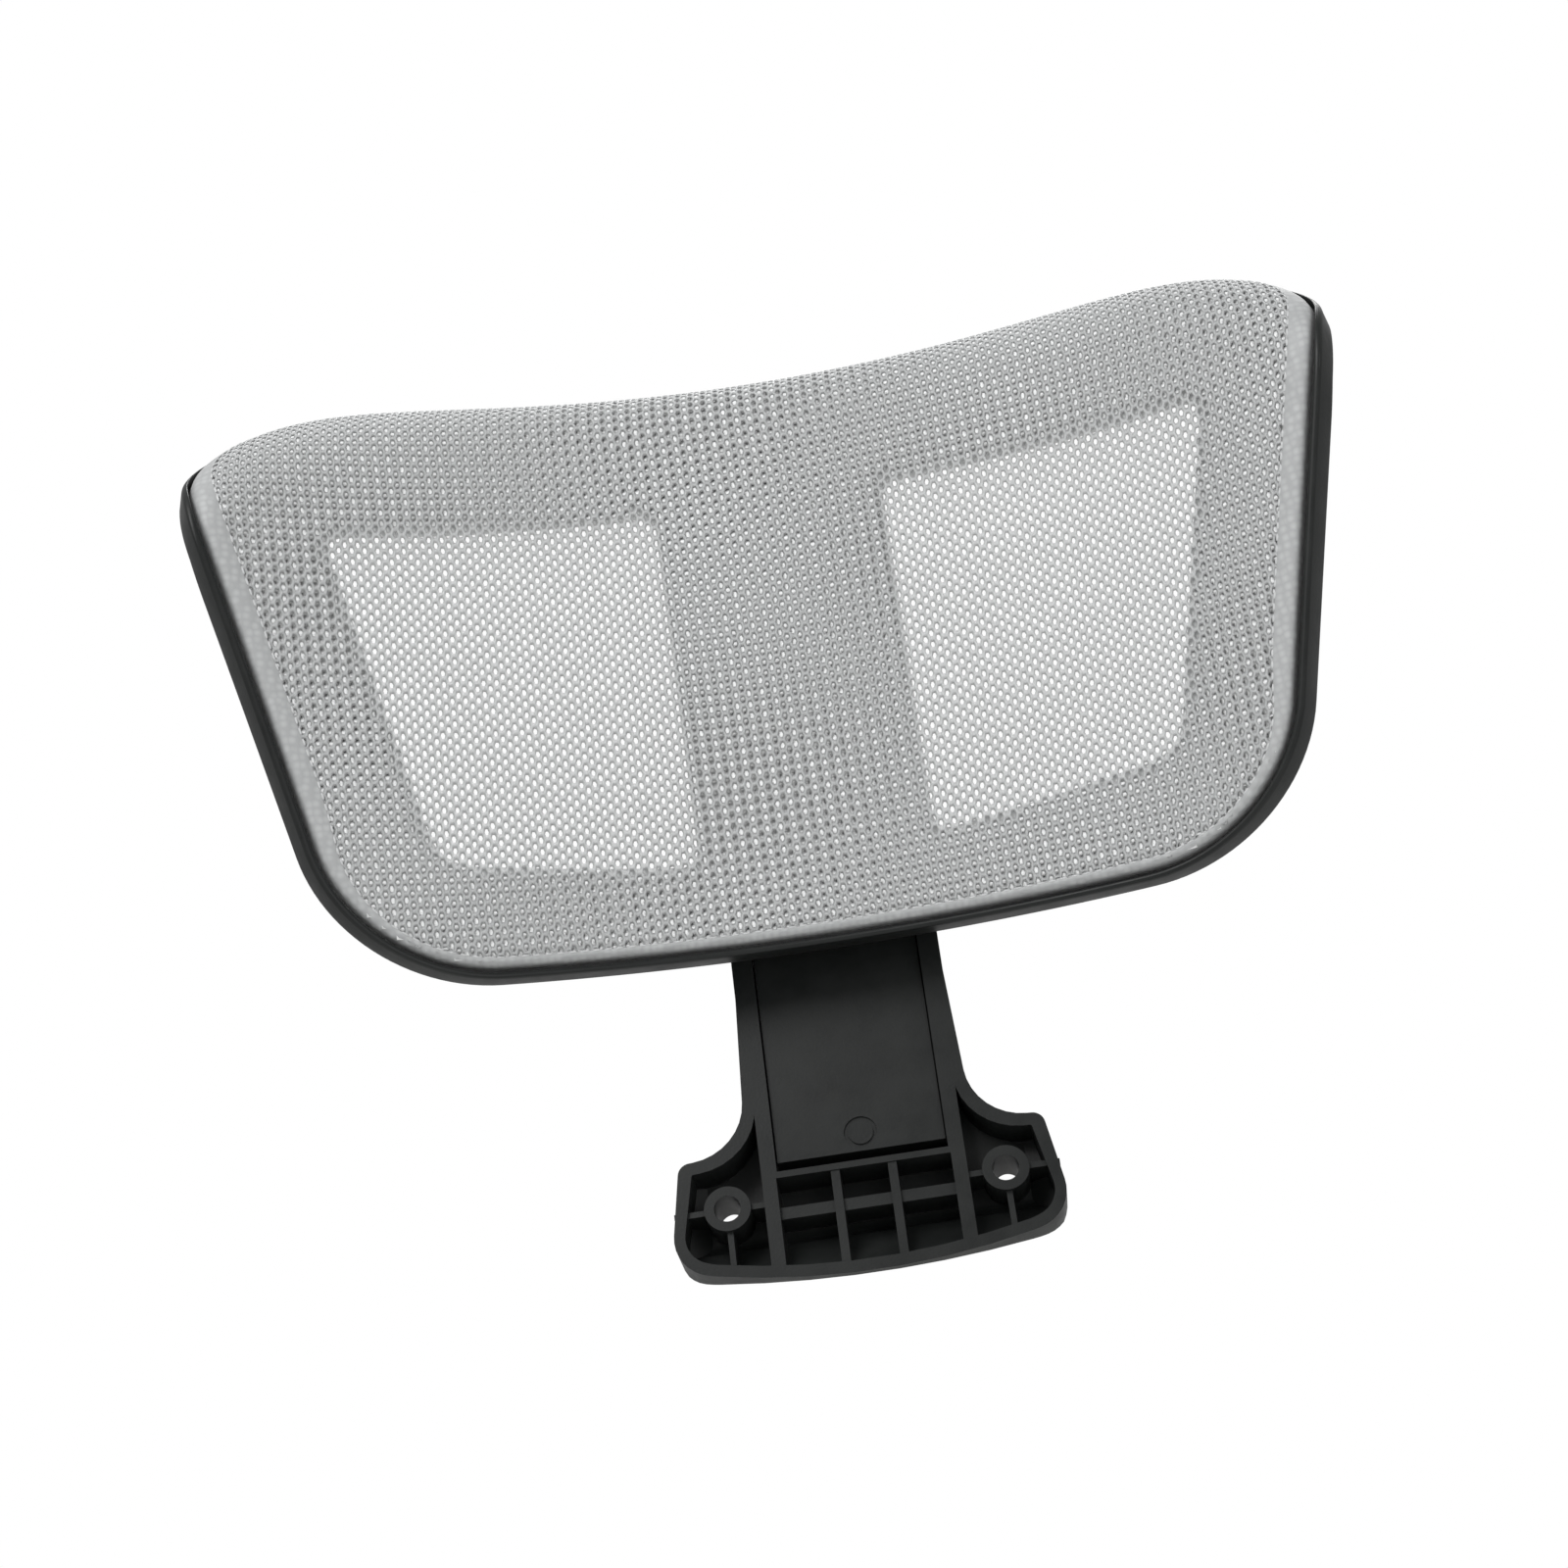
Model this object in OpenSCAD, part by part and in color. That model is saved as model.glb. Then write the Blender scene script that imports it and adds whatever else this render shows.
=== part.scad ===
// Add-on mesh headrest for an office chair: a ribbed foot that bolts to the rear of a
// chair back, a stem that slides up in the foot's channel, and a saddle-shaped mesh head
// on a friction hinge. Origin: midway between the two bolt holes, on the front face of the
// foot that lies against the chair. +Z up, +X right, -Y towards the person in the chair.

/* [Mounting foot] */
// Distance between the two bolt holes
hole_pitch = 75; // [72:1:78]
// Bolt hole diameter
hole_d = 7.2; // [6.4:0.1:8]
// Outside diameter of the round boss about each bolt hole
boss_d = 12.6; // [11:0.2:13.4]
// Depth of the foot from its front face to its rear skin
foot_depth = 15; // [14.5:0.5:18]
// Half width of the foot at its lower corners
foot_half = 54; // [52:0.5:57]
// Drop of the foot's lower edge below the bolt holes
foot_drop = 22.8; // [21:0.2:26]
// Thickness of the foot's outer wall
foot_wall = 3.3; // [2.4:0.1:3.6]
// Thickness of the rear skin of foot and channel
skin = 3; // [2.4:0.1:3.2]
// Thickness of the inner ribs
rib = 2.4; // [1.8:0.1:2.8]

/* [Channel and stem] */
// Half width of the channel part above the foot
track_half = 29; // [28.5:0.5:31]
// Height of the channel's upper end
channel_top = 95; // [90:1:100]
// Half width of the flat sliding stem
stem_half = 22.8; // [22:0.1:23]
// Travel of the stem, up from its lowest place
slide_travel = 40; // [20:1:44]
// Lower end of the stem at rest
stem_foot = 11.3; // [11:0.1:13]
// Recess of the stem's face behind the channel walls
stem_recess = 1.6; // [1:0.1:2.5]

/* [Tilt hinge] */
// Hinge axis ahead of the foot's front face
hinge_y = -4; // [-5:0.1:-3.8]
// Hinge axis above the bolt holes
hinge_z = 112; // [110:0.5:116]
// Hinge bolt diameter
pin_d = 6; // [5:0.5:6]
// Lean of the head's face towards the person
lean = 12.3; // [8:0.1:16]

/* [Head] */
// Half width of the head at its lower edge, before the corners are rounded
head_half_low = 124.6; // [115:0.2:135]
// Half width of the head at its upper edge, before the corners are rounded
head_half_high = 165.8; // [158:0.2:172]
// Length of the face from lower to upper edge, along the surface
head_length = 188; // [180:0.2:194]
// Radius of the lower corners
corner_low = 47.5; // [38:0.5:52]
// Radius of the upper corners
corner_high = 25.5; // [20:0.5:40]
// How far the wings come forward, measured at 150 mm from the middle
wing_forward = 48.8; // [35:0.2:54]
// Height on the face where the top starts to roll back, in the middle
roll_start = 155.5; // [152:0.5:160]
// How much lower the roll starts at 150 mm from the middle
roll_lower = 31.8; // [20:0.2:35]
// Radius of the roll in the middle
roll_radius = 18.5; // [17:0.5:22]
// How much larger the roll's radius is at 150 mm from the middle
roll_open = 18.4; // [14:0.2:30]

/* [Hidden] */

black = [0.07, 0.07, 0.075];
steel = [0.6, 0.61, 0.63];
acetal = [0.85, 0.85, 0.82];
grey = [0.62, 0.63, 0.64];

// Lower edge of the head's face, in the middle
head_y = -17;
head_z = 65;
// How sharply the roll changes towards the upper corners
roll_power = 7;
plan_radius = (150 * 150 + wing_forward * wing_forward) / (2 * wing_forward);

// Depths behind the mesh face
fabric_t = 0.8;
carrier_front = 1.1;
carrier_t = 2.4;
carrier_back = 5.6;
floor_front = 6.2;
frame_back = 9.2;
lip_front = -0.4;
// Distances in from the head's outer edge
lip_t = 1.8;
fabric_edge = 3.4;
carrier_edge = 4.6;

// Hinge axis in the head's own axes: depth behind the face and height on it
hinge_depth = (hinge_y - head_y) * cos(lean) + (hinge_z - head_z) * sin(lean);
hinge_up = -(hinge_y - head_y) * sin(lean) + (hinge_z - head_z) * cos(lean);

// Stack along the hinge, outwards from the middle
barrel_half = 17;
flange_out = 18;
lug_in = 19.1;
lug_out = 25.1;
nut_in = 27;
bolt_end = 31;
cap_out = 32.2;

// ---------------------------------------------------------------- outlines

// Arc that rounds corner p between its neighbours
function rounded(before, p, after, r, n = 8) =
    let (a = (before - p) / norm(before - p),
         b = (after - p) / norm(after - p),
         half = acos(max(-1, min(1, a * b))) / 2,
         mid = (a + b) / norm(a + b),
         c = p + mid * r / sin(half),
         s = p + a * r / tan(half) - c,
         turn = sign(a[0] * b[1] - a[1] * b[0]) * (180 - 2 * half))
    [for (i = [0 : n])
        let (t = -turn * i / n)
        c + [s[0] * cos(t) - s[1] * sin(t), s[0] * sin(t) + s[1] * cos(t)]];

// Closed outline from corners given as [x, z, radius]
function outline(c, n = 8) =
    let (m = len(c))
    [for (i = [0 : m - 1])
        let (p = [c[i][0], c[i][1]],
             q = [c[(i + m - 1) % m][0], c[(i + m - 1) % m][1]],
             w = [c[(i + 1) % m][0], c[(i + 1) % m][1]])
        each (c[i][2] > 0 ? rounded(q, p, w, c[i][2], n) : [p])];

function mirrored(c) = concat(c, [for (i = [len(c) - 1 : -1 : 0]) [-c[i][0], c[i][1], c[i][2]]]);

// Lower edge of the foot, a shallow arc
function drop_at(x, inset) = -foot_drop + inset + x * x / 400;

// Corners of the foot and channel, moved in by an inset, right half from the bottom up
function foot_corners(inset) = mirrored(concat(
    [for (x = [6 : 12 : 42]) [x, drop_at(x, inset), 0]],
    [[foot_half - inset, drop_at(foot_half, inset), 11 - inset],
     [foot_half - 4.6 - inset, 14.2 - inset, max(3.5 - inset, 0.6)],
     [track_half + 2.2 - inset, 15.2 - inset, 16 + inset / 2],
     [track_half + 1.2 - inset, 34, 0],
     [track_half - inset, 60, 0],
     [track_half - inset, channel_top, 0]]));

// Extrudes an X-Z outline backwards from y0 to y1
module plate(y0, y1, points) {
    translate([0, y1, 0])
        rotate([90, 0, 0])
            linear_extrude(y1 - y0)
                polygon([for (p = points) [p[0], p[1]]]);
}

// Extrudes a Y-Z outline across the part from -half to +half
module across(half, points) {
    rotate([90, 0, 90])
        translate([0, 0, -half])
            linear_extrude(2 * half)
                polygon(points);
}

module block(x0, x1, y0, y1, z0, z1) {
    translate([x0, y0, z0])
        cube([x1 - x0, y1 - y0, z1 - z0]);
}

module both_sides() {
    children();
    mirror([1, 0, 0])
        children();
}

// Cylinder along X between two stations
module round_x(x0, x1, r, fn = 48) {
    translate([x0, 0, 0])
        rotate([0, 90, 0])
            cylinder(h = x1 - x0, r = r, $fn = fn);
}

// Cylinder along Y between two stations
module round_y(y0, y1, r, fn = 48) {
    translate([0, y1, 0])
        rotate([90, 0, 0])
            cylinder(h = y1 - y0, r = r, $fn = fn);
}

// ---------------------------------------------------------------- foot and channel

// Space ahead of the rear skin: the rear is flat in the middle, rounded at the lower edge
// and sloped at the ears
module rear_shape(inset) {
    y1 = foot_depth - inset;
    low = -foot_drop + inset;
    intersection() {
        across(70, concat(
            [[-1, 120], [-1, low - 5], [foot_depth * 0.15, low - 5]],
            [[foot_depth * 0.15, low], [foot_depth * 0.62 - inset / 2, low + 6.6]],
            [for (a = [30 : 10 : 90])
                [y1 - foot_depth * 0.3 * (1 - sin(a)), low + 10 + 4.6 * (1 - cos(a))]],
            [[y1, 120]]));
        translate([0, 0, -60])
            linear_extrude(180)
                polygon([[-62, -1], [-62, y1 - 9], [-45 + inset / 2, y1],
                         [45 - inset / 2, y1], [62, y1 - 9], [62, -1]]);
    }
}

module bracket_body() {
    intersection() {
        plate(0, 30, outline(foot_corners(0)));
        rear_shape(0);
    }
}

wall_in = stem_half + 0.4;
groove_out = stem_half + 3.8;
ear_in = groove_out + 0.9;

// Open pocket of each ear, between the outer wall and the upright rib
module ear_pockets() {
    intersection() {
        plate(-1, foot_depth - skin, outline(foot_corners(foot_wall)));
        rear_shape(skin);
        both_sides()
            block(ear_in, 70, -1, 30, -40, 27);
    }
}

cell_top = stem_foot - 4.8;
cell_rib = [-4.8, -1.5];

// Rows of cells below the stem, parted by two upright ribs and one cross rib
module rib_cells() {
    difference() {
        intersection() {
            plate(-1, foot_depth - skin, outline(foot_corners(foot_wall)));
            rear_shape(skin);
            block(-wall_in - 0.4, wall_in + 0.4, -1, 30, -40, cell_top);
        }
        both_sides()
            block(7.7 - rib / 2, 7.7 + rib / 2, 0.4, 30, -40, cell_top + 1);
        block(-30, 30, 1.6, 30, cell_rib[0], cell_rib[1]);
    }
}

// Bosses about the bolt holes with thin cross ribs to the walls
module foot_bosses() {
    intersection() {
        both_sides() {
            translate([hole_pitch / 2, 0, 0])
                round_y(0, foot_depth - 1, boss_d / 2, 64);
            block(ear_in - 1, foot_half - 2, 1.2, foot_depth - 1, -0.8, 0.8);
            block(hole_pitch / 2 - 0.8, hole_pitch / 2 + 0.8, 1.2, foot_depth - 1,
                  drop_at(hole_pitch / 2, 1), 1);
        }
        rear_shape(0);
    }
}

groove_y = [4.2, 9.8];
channel_back = foot_depth - skin + 0.2;

// Room for the stem, with a groove in each side wall
module channel_room() {
    block(-wall_in, wall_in, -1, channel_back, stem_foot - 3, channel_top + 1);
    block(-groove_out, groove_out, groove_y[0], groove_y[1], stem_foot - 3, channel_top + 1);
}

cap_screw_x = (wall_in + track_half) / 2;
cap_screw_y = [2.2, 12.1];

module mount_bracket() {
    color(black)
        difference() {
            union() {
                difference() {
                    bracket_body();
                    ear_pockets();
                    rib_cells();
                }
                foot_bosses();
            }
            channel_room();
            both_sides() {
                translate([hole_pitch / 2, 0, 0])
                    round_y(-1, 30, hole_d / 2, 64);
                for (y = cap_screw_y)
                    translate([cap_screw_x, y, channel_top - 9])
                        cylinder(h = 20, r = 1.05, $fn = 24);
            }
        }
}

// Slippery liner folded into each groove
module guide_liners() {
    t = 0.8;
    color(acetal)
        both_sides()
            difference() {
                block(wall_in + 0.2, groove_out, groove_y[0], groove_y[1],
                      stem_foot - 3, channel_top);
                block(wall_in, groove_out - t, groove_y[0] + t, groove_y[1] - t,
                      stem_foot - 4, channel_top + 1);
            }
}

cap_t = 3.5;

// U-shaped end cap that closes the grooves and stops the stem at the top
module channel_cap() {
    color(black)
        difference() {
            block(-track_half, track_half, 0, foot_depth, channel_top, channel_top + cap_t);
            block(-wall_in, wall_in, -1, channel_back, channel_top - 1, channel_top + 9);
            both_sides()
                for (y = cap_screw_y)
                    translate([cap_screw_x, y, channel_top - 1])
                        cylinder(h = 9, r = 1.25, $fn = 24);
        }
}

// One pan-head screw along +Z, head from z = 0 upwards, with a cross recess
module screw(shank_r, length, head_r, head_h) {
    difference() {
        union() {
            translate([0, 0, -length])
                cylinder(h = length + 0.1, r = shank_r, $fn = 24);
            cylinder(h = head_h, r = head_r, $fn = 32);
        }
        for (a = [0, 90])
            rotate([0, 0, a])
                translate([-head_r * 0.55, -head_r * 0.12, head_h * 0.45])
                    cube([head_r * 1.1, head_r * 0.24, head_h]);
    }
}

module cap_screws() {
    color(steel)
        both_sides()
            for (y = cap_screw_y)
                translate([cap_screw_x, y, channel_top + cap_t])
                    screw(1, 11, 2, 1.3);
}

// ---------------------------------------------------------------- sliding stem

stem_back = foot_depth - skin - 0.4;
tongue_top = channel_top - slide_travel - 0.5;
pad_x = 14;
pad_z = [stem_foot + 11, tongue_top - 8];
pad_r = 4.5;

// Hinge barrel and the neck that carries it
module stem_neck() {
    translate([0, hinge_y, hinge_z])
        round_x(-barrel_half, barrel_half, 6.5, 64);
    across(barrel_half, [
        [stem_recess, hinge_z - 20],
        [stem_back, hinge_z - 20],
        [stem_back, hinge_z - 10],
        [hinge_y + 3, hinge_z + 5.8],
        [hinge_y, hinge_z],
        [hinge_y - 6.2, hinge_z - 1.8],
        [hinge_y - 3.6, hinge_z - 5.4],
        [stem_recess, hinge_z - 13]]);
}

// Hollows in the rear of the stem, between ribs
module stem_hollows() {
    z0 = tongue_top + 4;
    row = (hinge_z - 24 - z0) / 2;
    for (i = [-1 : 1])
        for (k = [0, 1])
            block(i * 14.2 - 5.9, i * 14.2 + 5.9, stem_recess + 3, stem_back + 1,
                  z0 + k * row, z0 + k * row + row - 2);
    block(-stem_half + 3, stem_half - 3, stem_recess + 3, stem_back + 1,
          pad_z[0] + pad_r + 2, pad_z[1] - pad_r - 2);
}

module slide_stem() {
    color(black)
        difference() {
            union() {
                block(-stem_half, stem_half, stem_recess, stem_back, stem_foot, hinge_z - 14);
                block(-stem_half - 2.7, stem_half + 2.7, groove_y[0] + 0.95,
                      groove_y[1] - 0.95, stem_foot, tongue_top);
                stem_neck();
            }
            stem_hollows();
            // Round mould mark on the face, close to the lower end
            translate([0.4, 0, stem_foot + 5.4])
                difference() {
                    round_y(0, stem_recess + 0.5, 4.5, 48);
                    round_y(-1, stem_recess + 1, 3.4, 48);
                }
            // Pockets for the pads and their springs
            for (x = [-pad_x, pad_x])
                for (z = pad_z)
                    translate([x, 0, z])
                        round_y(stem_back - 2.4, stem_back + 1, pad_r + 0.1, 48);
            translate([0, hinge_y, hinge_z])
                round_x(-barrel_half - 1, barrel_half + 1, 4.5, 64);
        }
}

module glide_pads() {
    color(acetal)
        for (x = [-pad_x, pad_x])
            for (z = pad_z)
                translate([x, 0, z])
                    round_y(stem_back - 1.7, channel_back - 0.25, pad_r, 48);
}

module pad_springs() {
    color(steel)
        for (x = [-pad_x, pad_x])
            for (z = pad_z)
                translate([x, 0, z])
                    difference() {
                        round_y(stem_back - 2.4, stem_back - 1.7, pad_r - 0.4, 40);
                        round_y(0, 30, 2, 40);
                    }
}

module hinge_bushes() {
    color(acetal)
        translate([0, hinge_y, hinge_z])
            both_sides()
                difference() {
                    union() {
                        round_x(8, barrel_half, 4.5, 64);
                        round_x(barrel_half, flange_out, 6.2, 64);
                    }
                    round_x(0, 30, pin_d / 2 + 0.05, 64);
                }
}

// ---------------------------------------------------------------- head shape

// The head's own axes: x across, y depth behind the face, z height on the face
module in_head() {
    translate([0, head_y, head_z])
        rotate([lean, 0, 0])
            children();
}

slope = (head_half_high - head_half_low) / head_length;
stretch = sqrt(1 + slope * slope);
low_centre = head_half_low + slope * corner_low - corner_low * stretch;
high_z = head_length - corner_high;
high_centre = head_half_low + slope * high_z - corner_high * stretch;

// Half width of the head at height s, moved in by an inset
function half_width(s, inset) =
    let (rl = corner_low - inset,
         rh = corner_high - inset)
    s < corner_low - rl * slope / stretch
        ? low_centre + sqrt(max(0, rl * rl - pow(s - corner_low, 2)))
    : s > high_z - rh * slope / stretch
        ? high_centre + sqrt(max(0, rh * rh - pow(s - high_z, 2)))
    : head_half_low + slope * s - inset * stretch;

// Point at x across, s up the face and d behind it
function on_head(x, s, d) =
    let (q = pow(abs(x) / 150, roll_power),
         start = roll_start - roll_lower * q,
         r = roll_radius + roll_open * q,
         a = max(0, s - start) / r * 180 / PI,
         b = asin(x / plan_radius),
         n = [sin(b) * cos(a), cos(b) * cos(a), -cos(b) * sin(a)],
         p = [x,
              plan_radius * (cos(b) - 1) + r * (1 - cos(a)),
              min(s, start) + r * sin(a)])
    p + n * d / norm(n);

// Heights of the rows of points, closer together near the edges
function row_at(i, rows, inset) =
    inset + (head_length - 2 * inset) * (1 - cos(180 * i / rows)) / 2;

// Place of a column of points, from -1 to 1, closer together near the sides
function column_at(j, cols) =
    let (t = 2 * j / cols - 1)
    (t + sin(90 * t)) / 2;

// Curved sheet over the whole outline, from depth d0 to d1
module curved_sheet(inset, d0, d1, rows, cols) {
    w = cols + 1;
    m = (rows + 1) * w;
    points = [for (d = [d0, d1])
        for (i = [0 : rows])
            let (s = row_at(i, rows, inset),
                 h = half_width(s, inset))
            for (j = [0 : cols])
                on_head(h * column_at(j, cols), s, d)];
    faces = concat(
        [for (i = [0 : rows - 1])
            for (j = [0 : cols - 1])
                let (a = i * w + j,
                     c = m + a)
                each (j < cols / 2
                    ? [[a, a + w, a + w + 1], [a, a + w + 1, a + 1],
                       [c, c + w + 1, c + w], [c, c + 1, c + w + 1]]
                    : [[a, a + w, a + 1], [a + 1, a + w, a + w + 1],
                       [c, c + 1, c + w], [c + 1, c + w + 1, c + w]])],
        [for (i = [0 : rows - 1])
            let (a = i * w,
                 b = i * w + cols)
            each [[a, m + a, m + a + w], [a, m + a + w, a + w],
                  [b, b + w, m + b + w], [b, m + b + w, m + b]]],
        [for (j = [0 : cols - 1])
            let (a = j,
                 b = rows * w + j)
            each [[a, a + 1, m + a + 1], [a, m + a + 1, m + a],
                  [b, m + b, m + b + 1], [b, m + b + 1, b + 1]]]);
    polyhedron(points, faces);
}

// Closed path about the outline at an inset, as [x, s]
function rim_path(inset, rows, flat) =
    let (lo = half_width(inset, inset),
         hi = half_width(head_length - inset, inset))
    concat(
        [for (i = [0 : rows])
            let (s = row_at(i, rows, inset))
            [half_width(s, inset), s]],
        [for (j = [1 : flat - 1]) [hi * (1 - 2 * j / flat), head_length - inset]],
        [for (i = [rows : -1 : 0])
            let (s = row_at(i, rows, inset))
            [-half_width(s, inset), s]],
        [for (j = [1 : flat - 1]) [-lo * (1 - 2 * j / flat), inset]]);

// Bar with a section given as [inset, depth] corners, swept once about the outline
module rim_bar(section, rows, flat) {
    m = len(section);
    paths = [for (c = section) rim_path(c[0], rows, flat)];
    n = len(paths[0]);
    points = [for (k = [0 : n - 1])
        for (j = [0 : m - 1])
            on_head(paths[j][k][0], paths[j][k][1], section[j][1])];
    faces = [for (k = [0 : n - 1])
        for (j = [0 : m - 1])
            let (a = k * m + j,
                 b = k * m + (j + 1) % m,
                 c = ((k + 1) % n) * m + (j + 1) % m,
                 e = ((k + 1) % n) * m + j)
            each [[a, b, c], [a, c, e]]];
    polyhedron(points, faces);
}

// Window openings either side of the middle column, grown outwards by an amount
module windows(grow, up) {
    both_sides()
        plate(-60, 30, outline([
            [32.4 - grow, 131 + up, 4],
            [32.4 - grow, 26.4 - grow, 5],
            [100 + grow, 33 - grow, 12],
            [121.2 + grow, 128.6 + up, 5]], 6));
}

// Puts children at a place on the head, with +Z pointing out of its rear
module at_face(x, s, d) {
    b = asin(x / plan_radius);
    q = pow(abs(x) / 150, roll_power);
    a = max(0, s - roll_start + roll_lower * q) / (roll_radius + roll_open * q) * 180 / PI;
    translate(on_head(x, s, d))
        rotate([0, 0, -b])
            rotate([-90 - a, 0, 0])
                children();
}

screw_places = [[36, 13], [88, 16], [125, 60], [138.5, 112], [96, 142], [36, 144]];

// ---------------------------------------------------------------- head pieces

rows = 30;
cols = 30;
rim_rows = 37;
flat = 23;

module back_frame() {
    color(black)
        in_head()
            resize([0, 0, 0])
                difference() {
                    union() {
                        difference() {
                            curved_sheet(0.3, floor_front, frame_back, rows, cols);
                            windows(2, 5);
                        }
                        rim_bar([[0.5, lip_front], [1.3, lip_front], [lip_t, 0.2],
                                 [lip_t, floor_front + 0.5], [0, floor_front + 0.5], [0, 0.2]],
                                rim_rows, flat);
                        // Flat pad behind the middle column for the hinge bracket
                        block(-28.8, 28.8, floor_front + 0.4, frame_back, 12, 84);
                        both_sides() {
                            // Upright ribs that stiffen the column above the bracket
                            block(9, 11.5, floor_front + 0.6, frame_back + 4, 86, 148);
                            block(26.3, 28.8, floor_front + 0.2, frame_back + 4, 14, 148);
                            // Bosses for the bracket screws
                            for (z = [20, 76])
                                translate([16, 0, z])
                                    round_y(carrier_front + carrier_t + 0.2,
                                            floor_front + 1, 4.2, 24);
                        }
                    }
                    both_sides() {
                        for (z = [20, 76])
                            translate([16, 0, z])
                                round_y(4.2, 20, 2, 24);
                        for (p = screw_places)
                            at_face(p[0], p[1], floor_front - 1)
                                cylinder(h = 6, r = 1.6, $fn = 16);
                    }
                }
}

module frame_screws() {
    color(steel)
        in_head()
            both_sides()
                for (p = screw_places)
                    at_face(p[0], p[1], frame_back + 0.15)
                        screw(1.4, 6.2, 2.9, 1.7);
}

module mesh_carrier() {
    color(grey)
        in_head()
            resize([0, 0, 0])
                difference() {
                    union() {
                        difference() {
                            curved_sheet(carrier_edge + 0.3, carrier_front,
                                         carrier_front + carrier_t, rows, cols);
                            windows(0, 0);
                        }
                        rim_bar([[carrier_edge, carrier_front + 0.5],
                                 [carrier_edge + 2, carrier_front + 0.5],
                                 [carrier_edge + 2, carrier_back],
                                 [carrier_edge, carrier_back]], rim_rows, flat);
                        // Bosses that take the frame screws
                        both_sides()
                            for (p = screw_places)
                                at_face(p[0], p[1], carrier_front + 1)
                                    cylinder(h = carrier_back - carrier_front - 1, r = 3.4,
                                             $fn = 16);
                    }
                    both_sides()
                        for (p = screw_places)
                            at_face(p[0], p[1], carrier_front + 1.4)
                                cylinder(h = 8, r = 1.45, $fn = 16);
                }
}

// Welt sewn to the mesh's edge and pushed into the groove inside the rim
module listing_strip() {
    color(black)
        in_head()
            rim_bar([[lip_t + 0.3, 3.4], [fabric_edge - 0.2, 3.4], [fabric_edge - 0.2, 5.8],
                     [lip_t + 0.3, 5.8]], rim_rows, flat);
}

module mesh_fabric() {
    color([0.66, 0.67, 0.68])
        in_head()
            resize([0, 0, 0])
                union() {
                    curved_sheet(fabric_edge + 0.3, 0, fabric_t, rows, cols);
                    rim_bar([[fabric_edge, 0.3], [fabric_edge + fabric_t, 0.3],
                             [fabric_edge + fabric_t, 5.6], [fabric_edge, 5.6]], rim_rows, flat);
                }
}

// ---------------------------------------------------------------- hinge

plate_back = frame_back + 3.5;

module tilt_bracket() {
    color(black)
        in_head()
            difference() {
                union() {
                    block(-23.6, 23.6, frame_back, plate_back, 14, 82);
                    both_sides() {
                        translate([0, hinge_depth, hinge_up])
                            round_x(lug_in, lug_out, 7, 64);
                        block(lug_in, lug_out, plate_back - 1, hinge_depth,
                              hinge_up - 7, hinge_up + 7);
                        // Web below and above each lug
                        translate([(lug_in + lug_out) / 2, 0, 0])
                            across(1.5, [[plate_back - 0.5, hinge_up - 24],
                                         [plate_back + 0.5, hinge_up - 24],
                                         [hinge_depth - 2, hinge_up - 6],
                                         [hinge_depth - 2, hinge_up + 6],
                                         [plate_back + 0.5, hinge_up + 24],
                                         [plate_back - 0.5, hinge_up + 24]]);
                    }
                    // Cross rib at each end
                    for (z = [14, 79.5])
                        block(-23.6, 23.6, plate_back - 1, plate_back + 1.5, z, z + 2.5);
                }
                both_sides() {
                    for (z = [20, 76])
                        translate([16, 0, z])
                            round_y(0, 40, 2.4, 32);
                    translate([0, hinge_depth, hinge_up])
                        round_x(0, 40, pin_d / 2 + 0.05, 64);
                }
            }
}

module bracket_screws() {
    color(steel)
        in_head()
            both_sides()
                for (z = [20, 76])
                    translate([16, plate_back, z])
                        rotate([-90, 0, 0])
                            screw(1.9, 8, 3.4, 2.2);
}

module on_hinge() {
    translate([0, hinge_y, hinge_z])
        children();
}

module hinge_bolt() {
    color(steel)
        on_hinge()
            difference() {
                union() {
                    round_x(-26.4, bolt_end, pin_d / 2, 64);
                    round_x(-30.6, -26.3, 5, 64);
                }
                // Hexagon socket in the head
                round_x(-31, -28.2, 2.3, 6);
            }
}

module plain_washer() {
    color(steel)
        on_hinge()
            difference() {
                round_x(-26.3, -lug_out, 5.8, 64);
                round_x(-40, 0, pin_d / 2 + 0.15, 64);
            }
}

// Two dished springs set edge to edge
module disc_springs() {
    mid = (lug_out + nut_in) / 2;
    color(steel)
        on_hinge()
            for (k = [-1, 1])
                translate([mid, 0, 0])
                    rotate([0, 90, 0])
                        rotate_extrude($fn = 64)
                            polygon([[pin_d / 2 + 0.15, k * 0.95], [pin_d / 2 + 0.15, k * 0.45],
                                     [5.8, k * 0.02], [5.8, k * 0.5]]);
}

module hinge_nut() {
    color(steel)
        on_hinge()
            difference() {
                round_x(nut_in, bolt_end, 5.77, 6);
                round_x(0, 40, pin_d / 2, 64);
            }
}

module friction_washers() {
    color([0.25, 0.2, 0.15])
        on_hinge()
            both_sides()
                difference() {
                    round_x(flange_out + 0.1, lug_in, 6.2, 64);
                    round_x(0, 40, pin_d / 2 + 0.1, 64);
                }
}

// Snap-on cups over the bolt's head and the nut
module hinge_caps() {
    color(black)
        on_hinge()
            both_sides()
                difference() {
                    round_x(lug_out, cap_out, 7, 64);
                    round_x(lug_out - 1, bolt_end + 0.2, 6.1, 64);
                }
}

mount_bracket();
guide_liners();
channel_cap();
cap_screws();
slide_stem();
glide_pads();
pad_springs();
hinge_bushes();
tilt_bracket();
bracket_screws();
hinge_bolt();
plain_washer();
disc_springs();
hinge_nut();
friction_washers();
hinge_caps();
back_frame();
frame_screws();
mesh_carrier();
listing_strip();
mesh_fabric();
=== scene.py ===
import math
import random

import bmesh
import bpy
import numpy as np
from mathutils import Matrix, Vector, geometry


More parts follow.
